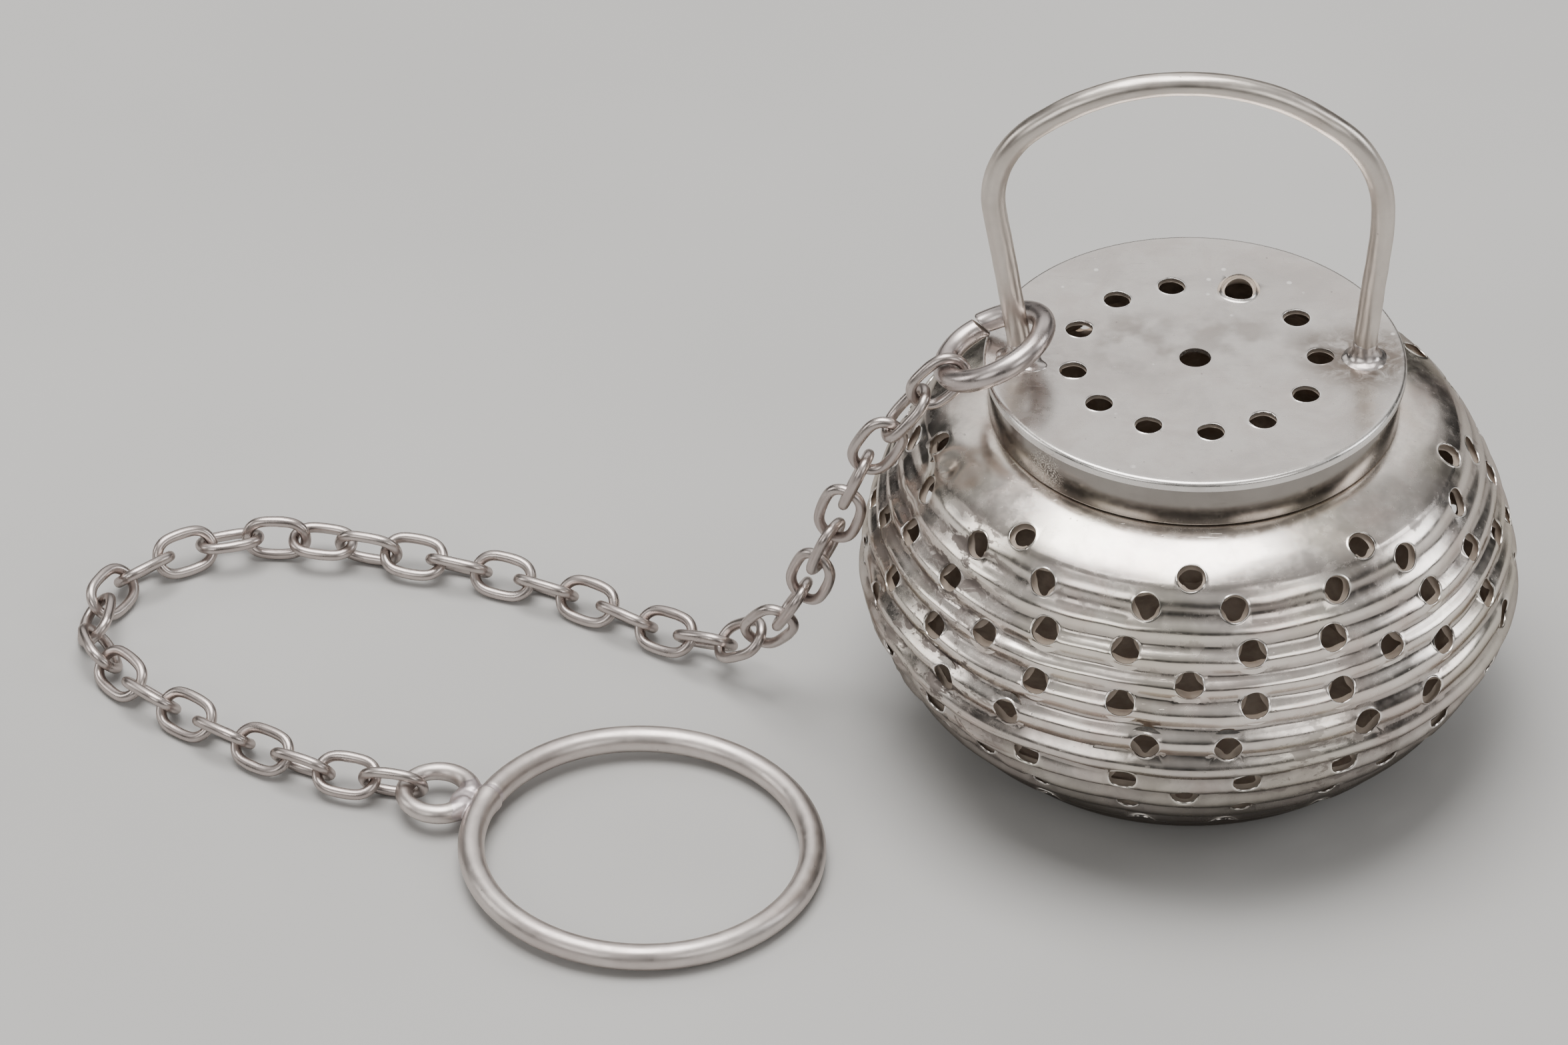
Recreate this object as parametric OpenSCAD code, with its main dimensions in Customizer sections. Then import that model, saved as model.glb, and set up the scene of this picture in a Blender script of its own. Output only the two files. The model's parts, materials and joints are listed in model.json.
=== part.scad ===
// Tea infuser: a ribbed, pierced ball with a lift-off lid, a wire bail, a jump ring and a
// cable chain that ends in a finger ring.
// The origin is the centre of the ball's flat base, +Z is the ball's axis, and the chain
// leaves towards -X and lies on the same surface as the base. Sizes are in millimetres.

/* [Ball] */
// Diameter of the ball over its ribs at the widest ring
ball_d = 42; // [41:0.5:44]
// Height of the widest ring above the base
belly_z = 11; // [10.5:0.1:11.5]
// Height of the flat seat under the lid
seat_z = 24; // [23.8:0.1:24.2]
// Diameter of the flat base
base_d = 24.4; // [22:0.2:25]
// Thickness of the sheet
wall = 0.5; // [0.4:0.05:0.6]
// Number of ribs between base and shoulder
rib_count = 12; // [8:1:14]
// Depth of the grooves between the ribs
rib_depth = 0.3; // [0.2:0.05:0.4]
// Diameter of the punched holes in the ball
hole_d = 1.7; // [1.4:0.1:1.9]

/* [Lid] */
// Diameter of the lid's flat disc
lid_d = 26.5; // [26.3:0.1:27]
// Thickness of the disc
disc_t = 0.6; // [0.5:0.1:0.8]
// Height of the disc's top face above the base
lid_top_z = 27.5; // [27.5:0.1:28]
// Outer diameter of the band under the disc
band_d = 25.9; // [25.7:0.1:26]
// Thickness of the band and of the neck inside it
band_t = 0.4; // [0.3:0.05:0.45]
// Radial clearance between band and neck
lid_fit = 0.05; // [0.03:0.01:0.08]
// Diameter of the lid's ring of holes
lid_hole_d = 1.7; // [1.4:0.1:1.9]
// Diameter of the hole in the middle of the lid
lid_centre_hole_d = 2; // [1.6:0.1:2.4]

/* [Bail] */
// Diameter of the bail's wire
bail_wire = 1.5; // [1.3:0.05:1.6]
// Width of the solder round each foot
solder_w = 0.7; // [0.4:0.1:0.8]
// Height of the solder round each foot
solder_h = 0.6; // [0.4:0.1:0.7]

/* [Chain] */
// Outer length of a link
link_l = 4.6; // [4.6:0.05:4.7]
// Outer width of a link
link_w = 3.2; // [3.1:0.05:3.3]
// Diameter of a link's wire
link_wire = 0.7; // [0.65:0.05:0.7]
// Gap between the wires of two links that hang on each other
link_gap = 0.1; // [0.08:0.01:0.12]
// Gap between the last link's wire and the eye that it hooks
eye_gap = 0.2; // [0.17:0.01:0.22]

/* [Jump ring] */
// Diameter of the jump ring along its wire's centreline
jump_d = 6.9; // [6.8:0.05:7]
// Diameter of the jump ring's wire
jump_wire = 1.45; // [1.4:0.05:1.45]
// Opening of the cut in the jump ring, in degrees
jump_cut = 5; // [3:1:8]

/* [Finger ring] */
// Inner diameter of the finger ring
finger_d = 19.8; // [17:0.2:21]
// Diameter of the finger ring's wire
finger_wire = 1.7; // [1.5:0.1:2]
// Diameter of the small eye along its wire's centreline
eye_d = 4.3; // [4.2:0.05:4.4]
// Diameter of the eye's wire
eye_wire = 1.05; // [1:0.05:1.1]

/* [Hidden] */
round_fn = 48;
wire_fn = 24;

// Ball outline: one power curve below the widest ring and one above it.
ball_r = ball_d / 2;
low_reach = 16.8;
low_power = 1.5;
top_reach = 21;
top_power = 1.8;
rib_low_z = 0.7;
rib_top_z = 22.3;
rib_pitch = (rib_top_z - rib_low_z) / rib_count;
shoulder_points = [[16, 22.9], [14.8, 23.5]];
seat_r = 13.1;
wall_steps = 8;

// Nine groups of holes: [angle from the group's middle, height], in degrees and millimetres.
hole_groups = 9;
first_group_angle = -92.5;
upper_holes = [[0, 22.6], [-9, 21.1], [9, 21.1], [-12, 18.6], [12, 18.6], [0, 16.9],
    [-12, 15.4], [12, 15.4], [-7, 12.6], [7, 12.6]];
lower_holes = [[-11, 9.6], [11, 9.6], [0, 8], [-11, 6.4], [11, 6.4], [-9, 3.2], [9, 3.2]];
punch_l = 3.2;

// Lid.
band_r = band_d / 2;
neck_r = band_r - band_t - lid_fit;
neck_low_z = seat_z - wall;
neck_top_z = lid_top_z - disc_t - 0.4;
band_low_z = seat_z + 0.05;
disc_low_z = lid_top_z - disc_t;
lid_hole_circle_r = 7.8;
lid_hole_angles = [127, 99, 67, 33, 1, -30, -59, -85, -114, -142, -170, 157];

// Bail centreline in the XZ plane, with Z counted from the disc, and the radius of each bend.
bail_points = [[-11, 0], [-11, 1.2], [-13.4, 15.3], [-5.7, 20.7], [3.7, 20.6], [11.3, 15.1],
    [11.3, 9.5], [10.6, 1.8], [10.6, 0]];
bail_bends = [0, 4, 6.5, 14, 14, 8, 16, 8, 0];

// Jump ring, tilted over the disc's edge. The chain hooks it at jump_hook_angle.
jump_r = jump_d / 2;
jump_centre = [-12.6, -0.9, lid_top_z + 1.5];
jump_tilt = [-6, -27, 0];
jump_hook_angle = 198;
jump_cut_angle = 106;

// Chain route: control points from the jump ring down the ball's side and over the table.
chain_route = [[-15, -1.9, 28.2], [-17.2, -2.1, 25.9], [-20, -2.2, 22.1], [-21.8, -1.8, 17.8],
    [-23.1, -1.2, 13.4], [-24.6, -0.2, 9.1], [-26.6, 1, 5.3], [-28.8, 2.6, 2.9], [-31.2, 4.2, 1.8],
    [-33.8, 5.8, 1.4], [-39, 9.3, 1.3], [-44.8, 12, 1.3], [-50.8, 13.8, 1.51],
    [-57, 15.2, 1.66], [-61.6, 15.3, 1.65], [-65.8, 13.6, 1.5], [-69.2, 10.8, 1.35],
    [-70.6, 6.8, 1.3], [-69.4, 2.4, 1.3], [-66, -1.3, 1.3], [-61.2, -5, 1.3],
    [-55.7, -8.5, 1.42], [-50.4, -10.2, 1.52], [-45, -11, 1.54]];
route_steps = 8;
link_count = 35;
link_pitch = link_l - 2 * link_wire - link_gap;
// Roll of the chain about its own line: [link number, degrees] with straight lines between.
chain_twist = [[1, 0], [7, 0], [11, -45], [17, -45], [24, 45], [31, 45], [35, 25]];

// Finger ring: the eye's loop is open towards the ring, and solder closes it. The last link
// passes under the eye and lifts that side, so the ring leans by finger_lean degrees.
finger_r = (finger_d + finger_wire) / 2;
finger_heading = -21;
finger_lean = 1.3;
eye_r = eye_d / 2;
eye_opening = 56;
solder_gap = 0.42;
eye_to_ring = finger_r + finger_wire / 2 + eye_r * cos(eye_opening / 2) + solder_gap;
ring_solder_r = 1.15;
solder_t = 1.3;

link_names = [for (i = [1:link_count]) str("chain_link_", i < 10 ? "0" : "", i)];

// Radius of the ball's rib crests at height z.
function belly_r(z) = z < belly_z
    ? ball_r * pow(1 - pow((belly_z - z) / low_reach, low_power), 1 / low_power)
    : ball_r * pow(1 - pow((z - belly_z) / top_reach, top_power), 1 / top_power);

// Upward angle of the ball's outward normal at height z.
function belly_tilt(z) = atan((belly_r(z - 0.1) - belly_r(z + 0.1)) / 0.2);

// Heading of the line from a to b in a plane, and the turn at b on the way to c.
function heading(a, b) = atan2(b[1] - a[1], b[0] - a[0]);
function turn(a, b, c) = let (t = heading(b, c) - heading(a, b))
    t > 180 ? t - 360 : t < -180 ? t + 360 : t;

// Length that the bend at point i takes from each of its two straights.
function bend_cut(p, r, i) = i == 0 || i == len(p) - 1
    ? 0
    : r[i] * tan(abs(turn(p[i - 1], p[i], p[i + 1])) / 2);

// Catmull-Rom curve between b and c, and the whole route as short straight steps.
function curve_point(a, b, c, d, t) =
    (2 * b + (c - a) * t + (2 * a - 5 * b + 4 * c - d) * t * t
    + (3 * b - a - 3 * c + d) * t * t * t) / 2;
function fine_route(p) = concat(
    [for (i = [0:len(p) - 2]) for (k = [0:route_steps - 1])
        curve_point(p[max(i - 1, 0)], p[i], p[i + 1], p[min(i + 2, len(p) - 1)], k / route_steps)],
    [p[len(p) - 1]]);

// Point on the step a-b that lies one link pitch from p.
function pitch_point(a, b, p) = let (d = b - a, m = a - p)
    a + d * (sqrt(pow(m * d, 2) - (d * d) * (m * m - link_pitch * link_pitch)) - m * d) / (d * d);

// Places where links meet, walked along the fine route from point p.
function meets(c, i, p, left) = left == 0
    ? [p]
    : norm(c[i + 1] - p) < link_pitch
        ? meets(c, i + 1, p, left)
        : concat([p], meets(c, i, pitch_point(c[i], c[i + 1], p), left - 1));

chain_meets = meets(fine_route(chain_route), 0, chain_route[0], link_count);

// Direction, angles and middle of link i, counted from 1.
function link_dir(i) = (chain_meets[i] - chain_meets[i - 1]) / link_pitch;
function link_middle(i) = (chain_meets[i] + chain_meets[i - 1]) / 2;
function link_angles(i) = let (t = link_dir(i))
    [90 * i + lookup(i, chain_twist), -atan2(t[2], norm([t[0], t[1]])), atan2(t[1], t[0])];

// Middle of the eye's wire where the last link hooks it.
end_reach = link_l / 2 - link_wire - eye_wire / 2 - eye_gap;
eye_hook = link_middle(link_count) + end_reach * link_dir(link_count);

module torus_arc(r, wire, start = 0, sweep = 360) {
    rotate([0, 0, start])
        rotate_extrude(angle = sweep, $fn = round_fn)
            translate([r, 0])
                circle(d = wire, $fn = wire_fn);
}

// A round wire bent in the XY plane along straight lines with round bends.
module bent_wire(p, r, wire) {
    for (i = [0:len(p) - 2]) {
        h = heading(p[i], p[i + 1]);
        start = p[i] + bend_cut(p, r, i) * [cos(h), sin(h)];
        length = norm(p[i + 1] - p[i]) - bend_cut(p, r, i) - bend_cut(p, r, i + 1);
        translate([start[0], start[1], 0])
            rotate([0, 90, h])
                cylinder(h = length, d = wire, $fn = wire_fn);
    }
    for (i = [1:len(p) - 2]) {
        h = heading(p[i - 1], p[i]);
        t = turn(p[i - 1], p[i], p[i + 1]);
        start = p[i] - bend_cut(p, r, i) * [cos(h), sin(h)];
        centre = start + sign(t) * r[i] * [-sin(h), cos(h)];
        translate([centre[0], centre[1], 0])
            torus_arc(r[i], wire, t > 0 ? h - 90 : h + 90 + t, abs(t));
    }
}

module ball_outline() {
    crests = [for (k = [0:rib_count - 1]) let (low = rib_low_z + k * rib_pitch)
        each [[belly_r(low) - rib_depth, low], [belly_r(low + rib_pitch / 2), low + rib_pitch / 2]]];
    inner_low = wall + 0.2;
    inner_step = (rib_top_z - inner_low) / wall_steps;
    inner = [for (k = [wall_steps:-1:0]) let (z = inner_low + k * inner_step)
        [belly_r(z) - rib_depth - wall, z]];
    polygon(concat([[0, 0], [base_d / 2, 0]], crests, shoulder_points,
        [[seat_r, seat_z], [neck_r, seat_z], [neck_r, seat_z - wall]], inner, [[0, wall]]));
}

module ball_punches() {
    for (g = [0:hole_groups - 1]) {
        for (h = concat(upper_holes, lower_holes)) {
            rotate([0, 0, first_group_angle + g * 360 / hole_groups + h[0]])
                translate([belly_r(h[1]), 0, h[1]])
                    rotate([0, 90 - belly_tilt(h[1]), 0])
                        cylinder(h = punch_l, d = hole_d, center = true, $fn = wire_fn);
        }
    }
}

module ball() {
    color("silver")
        difference() {
            rotate_extrude($fn = 96)
                ball_outline();
            ball_punches();
        }
}

module hoop(r_out, r_in, low, high) {
    translate([0, 0, low])
        difference() {
            cylinder(h = high - low, r = r_out, $fn = 96);
            translate([0, 0, -1])
                cylinder(h = high - low + 2, r = r_in, $fn = 96);
        }
}

module neck_collar() {
    color("rosybrown")
        hoop(neck_r, neck_r - band_t, neck_low_z, neck_top_z);
}

module lid_band() {
    color("gray")
        hoop(band_r, band_r - band_t, band_low_z, disc_low_z);
}

module lid_disc() {
    color("gainsboro")
        translate([0, 0, disc_low_z])
            difference() {
                cylinder(h = disc_t, d = lid_d, $fn = 96);
                translate([0, 0, -1])
                    cylinder(h = disc_t + 2, d = lid_centre_hole_d, $fn = wire_fn);
                for (a = lid_hole_angles) {
                    rotate([0, 0, a])
                        translate([lid_hole_circle_r, 0, -1])
                            cylinder(h = disc_t + 2, d = lid_hole_d, $fn = wire_fn);
                }
            }
}

module bail_handle() {
    color("lightgray")
        translate([0, 0, lid_top_z])
            rotate([90, 0, 0])
                bent_wire(bail_points, bail_bends, bail_wire);
}

module bail_solder() {
    wire_r = bail_wire / 2;
    color("darkgray")
        for (foot = [bail_points[0], bail_points[len(bail_points) - 1]]) {
            translate([foot[0], 0, lid_top_z])
                rotate_extrude($fn = round_fn)
                    polygon([[wire_r, 0], [wire_r + solder_w, 0], [wire_r + 0.25, 0.2],
                        [wire_r, solder_h]]);
        }
}

module jump_ring() {
    color("darkgray")
        translate(jump_centre)
            rotate(jump_tilt)
                torus_arc(jump_r, jump_wire, jump_cut_angle + jump_cut / 2, 360 - jump_cut);
}

module chain_link(i) {
    end_r = (link_w - link_wire) / 2;
    straight = link_l - link_w;
    color(i % 2 == 0 ? "silver" : "lightgray")
        translate(link_middle(i))
            rotate(link_angles(i)) {
                for (side = [-1, 1]) {
                    translate([side * straight / 2, 0, 0])
                        torus_arc(end_r, link_wire, side * 90 - 180, 180);
                    translate([-straight / 2, side * end_r, 0])
                        rotate([0, 90, 0])
                            cylinder(h = straight, d = link_wire, $fn = wire_fn);
                }
            }
}

// Places a child at distance x from the hooked wire, in the finger ring's own plane.
module in_finger_plane(x) {
    translate(eye_hook)
        rotate([0, finger_lean, finger_heading])
            translate([x, 0, 0])
                children();
}

module ring_eye() {
    color("lightgray")
        in_finger_plane(eye_r)
            torus_arc(eye_r, eye_wire, eye_opening / 2, 360 - eye_opening);
}

module ring_solder() {
    color("darkgray")
        in_finger_plane(eye_r + eye_to_ring - finger_r - 0.6)
            cylinder(h = solder_t, r = ring_solder_r, center = true, $fn = wire_fn);
}

module finger_ring() {
    color("silver")
        in_finger_plane(eye_r + eye_to_ring)
            torus_arc(finger_r, finger_wire);
}

ball();
neck_collar();
lid_disc();
lid_band();
bail_handle();
bail_solder();
jump_ring();
for (i = [1:link_count]) {
    chain_link(i);
}
ring_eye();
ring_solder();
finger_ring();
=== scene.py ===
"""Tea infuser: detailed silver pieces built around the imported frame, with a plain studio.

Lengths are in millimetres until a mesh is made, and metres from there on.
Angles round the ball's axis are 0 along +X and -90 degrees towards the camera. The tables give
them in degrees. A function's own a, q and phi are in radians.
"""

import json
import math

import bmesh
import bpy
import numpy as np
from mathutils import Matrix, Vector, noise


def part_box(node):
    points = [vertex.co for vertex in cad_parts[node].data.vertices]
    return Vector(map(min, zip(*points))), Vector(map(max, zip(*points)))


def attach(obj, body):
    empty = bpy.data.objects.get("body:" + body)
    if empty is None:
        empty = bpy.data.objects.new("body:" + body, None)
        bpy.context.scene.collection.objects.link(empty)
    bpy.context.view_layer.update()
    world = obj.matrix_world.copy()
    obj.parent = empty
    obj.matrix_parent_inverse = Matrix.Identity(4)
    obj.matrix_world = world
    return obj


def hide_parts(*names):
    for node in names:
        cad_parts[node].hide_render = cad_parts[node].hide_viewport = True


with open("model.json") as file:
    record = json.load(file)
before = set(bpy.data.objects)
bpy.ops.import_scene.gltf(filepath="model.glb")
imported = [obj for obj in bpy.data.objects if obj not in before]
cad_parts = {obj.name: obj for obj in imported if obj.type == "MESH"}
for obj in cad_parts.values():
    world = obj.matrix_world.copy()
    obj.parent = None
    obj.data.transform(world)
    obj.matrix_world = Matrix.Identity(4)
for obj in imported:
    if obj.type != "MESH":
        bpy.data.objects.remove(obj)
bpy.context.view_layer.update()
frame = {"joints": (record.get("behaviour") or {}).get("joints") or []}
MM = 0.001
TAU = math.tau


# -------------------- camera, lights and stage

TARGET = Vector((-25.72, 0, 14.54)) * MM
CAMERA_DISTANCE = 0.55
CAMERA_ELEVATION = math.radians(37.1)
CAMERA_LENS, SENSOR_WIDTH = 199, 36
LIGHT_TARGET = (0, 0, 0.02)


def placed(name, data):
    obj = bpy.data.objects.new(name, data)
    bpy.context.scene.collection.objects.link(obj)
    return obj


def aim(obj, target):
    obj.rotation_mode = "QUATERNION"
    obj.rotation_quaternion = (Vector(target) - obj.location).to_track_quat("-Z", "Y")


def make_camera():
    data = bpy.data.cameras.new("camera")
    data.lens = CAMERA_LENS
    data.sensor_width = SENSOR_WIDTH
    data.clip_start = 0.01
    data.clip_end = 20
    cam = placed("camera", data)
    back = Vector((0, -math.cos(CAMERA_ELEVATION), math.sin(CAMERA_ELEVATION)))
    cam.location = TARGET + back * CAMERA_DISTANCE
    aim(cam, TARGET)
    bpy.context.scene.camera = cam


def soft_box(name, place, size, watts, colour=(1, 1, 1)):
    data = bpy.data.lights.new(name, "AREA")
    data.shape = "RECTANGLE"
    data.size, data.size_y = size
    data.energy = watts
    data.color = colour
    lamp = placed(name, data)
    lamp.location = place
    aim(lamp, LIGHT_TARGET)


# -------------------- materials

TARNISH_DARK = (0.16, 0.145, 0.14)
SPECK_DARK = (0.12, 0.10, 0.09)
WORN_LIGHT = (0.95, 0.93, 0.90)
# The lid's grey smudges: middle, reach, strength.
SMUDGES = (
    ((8.0, 0.9, 27.5), 3.2, 0.8),
    ((-3.6, 1.4, 27.5), 5.0, 0.7),
    ((2.5, 2.5, 27.5), 5.0, 0.5),
)
# The ball's dirty areas, in the same terms.
DIRTY_AREAS = (
    ((-16.5, -12.0, 13.0), 9.0, 0.9),
    ((-15.0, -11.0, 19.5), 6.0, 0.9),
    ((-19.5, -3.0, 17.0), 6.0, 0.7),
    ((8.0, -18.0, 9.0), 7.0, 0.6),
)


class Shader:
    """A few short calls for building a node material."""

    def __init__(self, name):
        self.material = bpy.data.materials.new(name)
        self.material.use_nodes = True
        self.tree = self.material.node_tree
        self.tree.nodes.clear()
        coords = self.node("ShaderNodeTexCoord")
        self.place = self.math3("SCALE", coords.outputs["Object"], scale=1 / MM)
        self.bsdf = self.node("ShaderNodeBsdfPrincipled")
        out = self.node("ShaderNodeOutputMaterial")
        self.tree.links.new(self.bsdf.outputs[0], out.inputs["Surface"])

    def node(self, kind):
        return self.tree.nodes.new(kind)

    def put(self, socket, value):
        if isinstance(value, bpy.types.NodeSocket):
            self.tree.links.new(value, socket)
        elif isinstance(value, tuple) and len(value) == 3 and socket.type == "RGBA":
            socket.default_value = (*value, 1)
        else:
            socket.default_value = value

    def attribute(self, name, output="Fac"):
        n = self.node("ShaderNodeAttribute")
        n.attribute_name = name
        return n.outputs[output]

    def math(self, op, a, b=0.0, clamp=False):
        n = self.node("ShaderNodeMath")
        n.operation = op
        n.use_clamp = clamp
        self.put(n.inputs[0], a)
        self.put(n.inputs[1], b)
        return n.outputs[0]

    def times(self, a, b, clamp=False):
        return self.math("MULTIPLY", a, b, clamp)

    def plus(self, a, b, clamp=False):
        return self.math("ADD", a, b, clamp)

    def math3(self, op, a, b=(0, 0, 0), scale=1.0):
        n = self.node("ShaderNodeVectorMath")
        n.operation = op
        self.put(n.inputs[0], a)
        if op == "SCALE":
            n.inputs["Scale"].default_value = scale
        else:
            self.put(n.inputs[1], b)
        return n.outputs["Value" if op in ("LENGTH", "DISTANCE") else "Vector"]

    def noise(self, vector, scale, detail=3.0, rough=0.55, bend=0.0):
        n = self.node("ShaderNodeTexNoise")
        self.put(n.inputs["Vector"], vector)
        for key, value in (("Scale", scale), ("Detail", detail), ("Roughness", rough)):
            n.inputs[key].default_value = value
        n.inputs["Distortion"].default_value = bend
        return n.outputs[0]

    def cells(self, vector, scale):
        n = self.node("ShaderNodeTexVoronoi")
        self.put(n.inputs["Vector"], vector)
        n.inputs["Scale"].default_value = scale
        n.inputs["Randomness"].default_value = 1.0
        return n.outputs["Distance"]

    def step(self, value, low, high, to_low=0.0, to_high=1.0):
        n = self.node("ShaderNodeMapRange")
        n.interpolation_type = "SMOOTHSTEP"
        self.put(n.inputs["Value"], value)
        ends = (("From Min", low), ("From Max", high), ("To Min", to_low), ("To Max", to_high))
        for key, number in ends:
            n.inputs[key].default_value = number
        return n.outputs[0]

    def mix(self, fac, a, b):
        n = self.node("ShaderNodeMix")
        n.data_type = "RGBA"
        self.put(n.inputs["Factor"], fac)
        self.put(n.inputs[6], a)
        self.put(n.inputs[7], b)
        return n.outputs[2]

    def tint(self, colour, mark, power, paint):
        return self.mix(self.times(mark, power), colour, paint)

    def rougher(self, roughness, mark, power):
        return self.plus(roughness, self.times(mark, power), clamp=True)

    def near(self, point, low, high):
        """1 at a point given in millimetres, falling to 0 between the two distances."""
        away = self.math3("DISTANCE", self.place, point)
        return self.step(away, low, high, 1.0, 0.0)

    def bump(self, height, depth, strength=1.0, below=None):
        n = self.node("ShaderNodeBump")
        n.inputs["Strength"].default_value = strength
        n.inputs["Distance"].default_value = depth * MM
        self.put(n.inputs["Height"], height)
        if below is not None:
            self.put(n.inputs["Normal"], below)
        return n.outputs[0]

    def finish(self, colour, rough, normal=None, metal=1.0, edge=(1, 1, 1)):
        self.put(self.bsdf.inputs["Base Color"], colour)
        self.put(self.bsdf.inputs["Roughness"], rough)
        self.put(self.bsdf.inputs["Metallic"], metal)
        self.put(self.bsdf.inputs["Specular Tint"], edge)
        if normal is not None:
            self.put(self.bsdf.inputs["Normal"], normal)
        return self.material


def scratches(sh, base, turns, length=0.35, width=9.0, cut=0.72):
    """Thin straight marks: stretched noise, turned to several directions, and cut high."""
    total = None
    for turn in turns:
        n = sh.node("ShaderNodeMapping")
        n.inputs["Rotation"].default_value = tuple(math.radians(t) for t in turn)
        n.inputs["Scale"].default_value = (length, width, width)
        sh.put(n.inputs["Vector"], base)
        mark = sh.step(sh.noise(n.outputs[0], 1.0, 2.0, 0.5), cut, cut + 0.08)
        total = mark if total is None else sh.math("MAXIMUM", total, mark)
    return total


def silver(
    name,
    base,
    blush,
    rough,
    blush_amount=0.5,
    tarnish=0.35,
    tarnish_scale=0.45,
    streak=(0.5, 0.25),
    edge=(0.8, 0.78, 0.76),
    extra=None,
):
    """Worn silver: warm blotches, streaks along the metal's flow, tarnish in low places, scratches.

    The mesh carries "flow" (a coordinate that runs along the metal), "low" (1 in grooves)
    and "rim" (1 on worn edges).
    """
    sh = Shader(name)
    flow = sh.attribute("flow", "Vector")
    low = sh.attribute("low")
    rim = sh.attribute("rim")
    blotch = sh.noise(sh.place, 0.22, 4.0, 0.6, 0.6)
    colour = sh.mix(sh.step(blotch, 0.42, 0.68, 0.0, blush_amount), base, blush)
    haze = sh.noise(sh.math3("ADD", sh.place, (31.0, 7.0, 3.0)), 0.55, 5.0, 0.65)
    hazy = tuple(0.78 * c for c in base)
    colour = sh.mix(sh.step(haze, 0.45, 0.75, 0.0, 0.35), colour, hazy)
    streaks = sh.noise(flow, streak[0], 6.0, 0.7)
    streaked = tuple(0.62 * c for c in base)
    colour = sh.mix(sh.step(streaks, 0.52, 0.74, 0.0, streak[1]), colour, streaked)
    patch = sh.noise(sh.math3("ADD", sh.place, (3.0, 11.0, 23.0)), tarnish_scale, 6.0, 0.68, 0.4)
    fine = sh.noise(sh.place, 2.4, 4.0, 0.7)
    grown = sh.plus(patch, sh.times(sh.math("POWER", low, 3.0), 0.17))
    grown = sh.plus(grown, sh.times(fine, 0.16))
    stain = sh.step(grown, 0.71, 0.84, 0.0, tarnish)
    stain = sh.times(stain, sh.math("SUBTRACT", 1.0, rim, clamp=True))
    colour = sh.mix(stain, colour, TARNISH_DARK)
    specks = sh.step(sh.cells(sh.place, 1.3), 0.05, 0.11, 0.7, 0.0)
    speck_gate = sh.step(sh.noise(sh.place, 0.9, 2.0), 0.56, 0.64)
    specks = sh.times(specks, speck_gate)
    colour = sh.tint(colour, specks, 0.6, SPECK_DARK)
    worn = sh.times(rim, 0.7, clamp=True)
    colour = sh.mix(worn, colour, WORN_LIGHT)
    wear = sh.noise(sh.math3("ADD", sh.place, (5.0, 5.0, 51.0)), 0.8, 5.0, 0.7)
    roughness = sh.step(wear, 0.3, 0.72, rough[0], rough[1])
    roughness = sh.plus(roughness, sh.times(stain, 0.35))
    marks = scratches(sh, sh.place, ((20, 15, 35), (-35, 40, -50), (60, -20, 80)))
    roughness = sh.rougher(roughness, marks, 0.08)
    normal = sh.bump(marks, 0.004, 0.6)
    grain = sh.noise(flow, 2.2, 3.0, 0.5)
    normal = sh.bump(grain, 0.004, 0.22, normal)
    pits = sh.plus(sh.times(specks, -1.0), sh.times(stain, -0.15))
    normal = sh.bump(pits, 0.012, 0.5, normal)
    if extra is not None:
        colour, roughness, normal = extra(sh, colour, roughness, normal)
    return sh.finish(colour, roughness, normal, 1.0, edge)


def disc_marks(sh, colour, roughness, normal):
    """The lid's marks: water spots, smudges, brown round the right foot, grey round the left."""
    right, left = (10.6, 0.0, 27.5), (-10.8, 0.0, 27.5)
    smoke = sh.noise(sh.place, 0.9, 5.0, 0.7, 0.8)
    soft = sh.noise(sh.place, 0.5, 2.0, 0.5)
    halo = sh.times(sh.near(right, 1.5, 5.0), sh.step(smoke, 0.22, 0.60))
    for point, reach, power in SMUDGES:
        smudge = sh.times(sh.near(point, 0.2 * reach, reach), sh.step(soft, 0.36, 0.64))
        colour = sh.tint(colour, smudge, power, (0.27, 0.235, 0.21))
    colour = sh.tint(colour, halo, 0.85, (0.15, 0.115, 0.09))
    pool = sh.times(sh.near(left, 1.5, 5.5), sh.step(smoke, 0.40, 0.62))
    colour = sh.tint(colour, pool, 0.4, (0.44, 0.385, 0.36))
    smear = sh.step(sh.noise(sh.place, 0.16, 4.0, 0.6, 0.9), 0.46, 0.68)
    colour = sh.tint(colour, smear, 0.35, (0.54, 0.505, 0.485))
    turns = ((0, 0, 15), (0, 0, -40), (0, 0, 70), (0, 0, 110))
    fine = scratches(sh, sh.place, turns, 0.22, 11.0, 0.72)
    colour = sh.tint(colour, fine, 0.14, (0.90, 0.88, 0.86))
    normal = sh.bump(fine, 0.004, 0.5, normal)
    roughness = sh.rougher(roughness, halo, 0.15)
    spots = sh.step(sh.cells(sh.place, 0.55), 0.07, 0.12, 1.0, 0.0)
    gate = sh.step(sh.noise(sh.place, 0.35, 1.0), 0.50, 0.58)
    spots = sh.times(spots, gate)
    colour = sh.tint(colour, spots, 0.5, (0.93, 0.92, 0.90))
    roughness = sh.rougher(roughness, spots, 0.25)
    return colour, roughness, normal


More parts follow.
